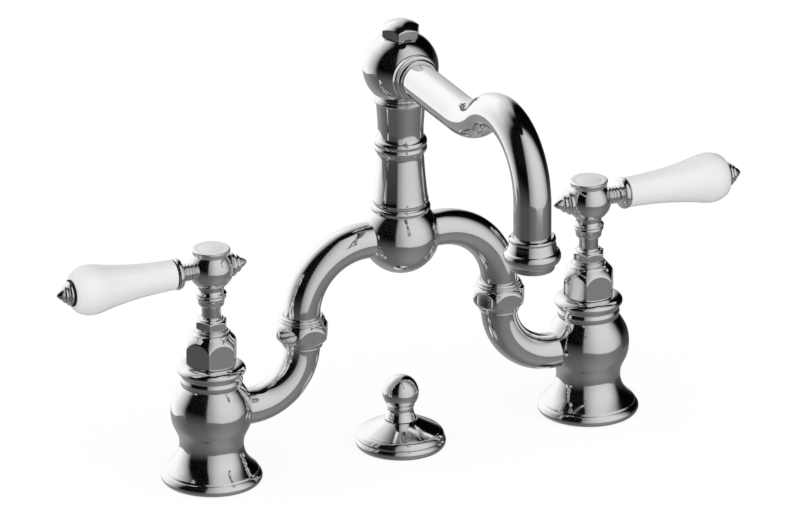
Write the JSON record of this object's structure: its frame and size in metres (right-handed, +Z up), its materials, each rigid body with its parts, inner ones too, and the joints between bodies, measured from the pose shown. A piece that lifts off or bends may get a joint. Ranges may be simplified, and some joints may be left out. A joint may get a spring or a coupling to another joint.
{
  "type": "three-hole basin mixer",
  "caption": "Deck-mounted bridge mixer for a basin: two lever taps joined by an arched bridge under a swivel spout, with a pop-up lift knob between them.",
  "frame": {"origin": "on the deck's surface, midway between the axes of the hot and cold taps, which is also the axis of the column and of the lift knob", "axes": "+Z up, +X from the hot tap towards the cold tap, -Y towards the user, which is the way the spout points at rest"},
  "size_m": [0.3678, 0.1852, 0.2988],
  "materials": {
    "chrome_plate": "polished",
    "brass": "satin",
    "porcelain": "gloss",
    "disc_ceramic": "satin",
    "rubber": "matte",
    "slip_plastic": "satin",
    "grey_plastic": "matte"
  },
  "bodies": {
    "fixed_frame": {"hot_valve_body": "chrome_plate", "cold_valve_body": "chrome_plate", "hot_shank": "brass", "cold_shank": "brass", "deck_seals": "rubber", "backing_washers": "brass", "backnuts": "brass", "seat_seals": "rubber", "fixed_discs": "disc_ceramic", "hot_cartridge": "brass", "cold_cartridge": "brass", "hot_bonnet": "chrome_plate", "cold_bonnet": "chrome_plate", "gland_packings": "slip_plastic", "gland_nuts": "chrome_plate", "hot_elbow": "chrome_plate", "cold_elbow": "chrome_plate", "union_seals": "rubber", "union_nuts": "chrome_plate", "hot_arm": "chrome_plate", "cold_arm": "chrome_plate", "bridge_hub": "chrome_plate", "column": "chrome_plate", "swivel_post": "brass", "swivel_orings": "rubber", "swivel_washers": "slip_plastic", "cap_nut": "chrome_plate", "escutcheon": "chrome_plate", "lift_guide": "brass"},
    "spout": {"spout_ball": "chrome_plate", "spout_collar": "chrome_plate", "spout_tube": "chrome_plate", "outlet_bell": "chrome_plate", "aerator_seal": "rubber", "aerator_insert": "grey_plastic", "aerator_housing": "chrome_plate"},
    "hot_lever": {"hot_spindle": "brass", "hot_moving_disc": "disc_ceramic", "hot_handle": "chrome_plate", "hot_handle_screw": "brass", "hot_index_cap": "chrome_plate", "hot_rear_finial": "chrome_plate", "hot_lever_collar": "chrome_plate", "hot_lever_rod": "brass", "hot_grip_washers": "rubber", "hot_grip": "porcelain", "hot_end_finial": "chrome_plate"},
    "cold_lever": {"cold_spindle": "brass", "cold_moving_disc": "disc_ceramic", "cold_handle": "chrome_plate", "cold_handle_screw": "brass", "cold_index_cap": "chrome_plate", "cold_rear_finial": "chrome_plate", "cold_lever_collar": "chrome_plate", "cold_lever_rod": "brass", "cold_grip_washers": "rubber", "cold_grip": "porcelain", "cold_end_finial": "chrome_plate"},
    "lift": {"lift_knob": "chrome_plate", "lift_rod": "brass"}
  },
  "joints": [
    {"name": "hot_lever_turn", "type": "hinge", "parent": "fixed_frame", "child": "hot_lever", "pos_m": [-0.1016, 0, 0.1111], "axis": [0, 0, 1], "range_deg": [0, 90]},
    {"name": "cold_lever_turn", "type": "hinge", "parent": "fixed_frame", "child": "cold_lever", "pos_m": [0.1016, 0, 0.1111], "axis": [0, 0, -1], "range_deg": [0, 90]},
    {"name": "spout_swivel", "type": "hinge", "parent": "fixed_frame", "child": "spout", "pos_m": [0, 0, 0.1983], "axis": [0, 0, 1], "continuous": true},
    {"name": "waste_lift", "type": "slide", "parent": "fixed_frame", "child": "lift", "axis": [0, 0, 1], "range_m": [0, 0.018]}
  ]
}
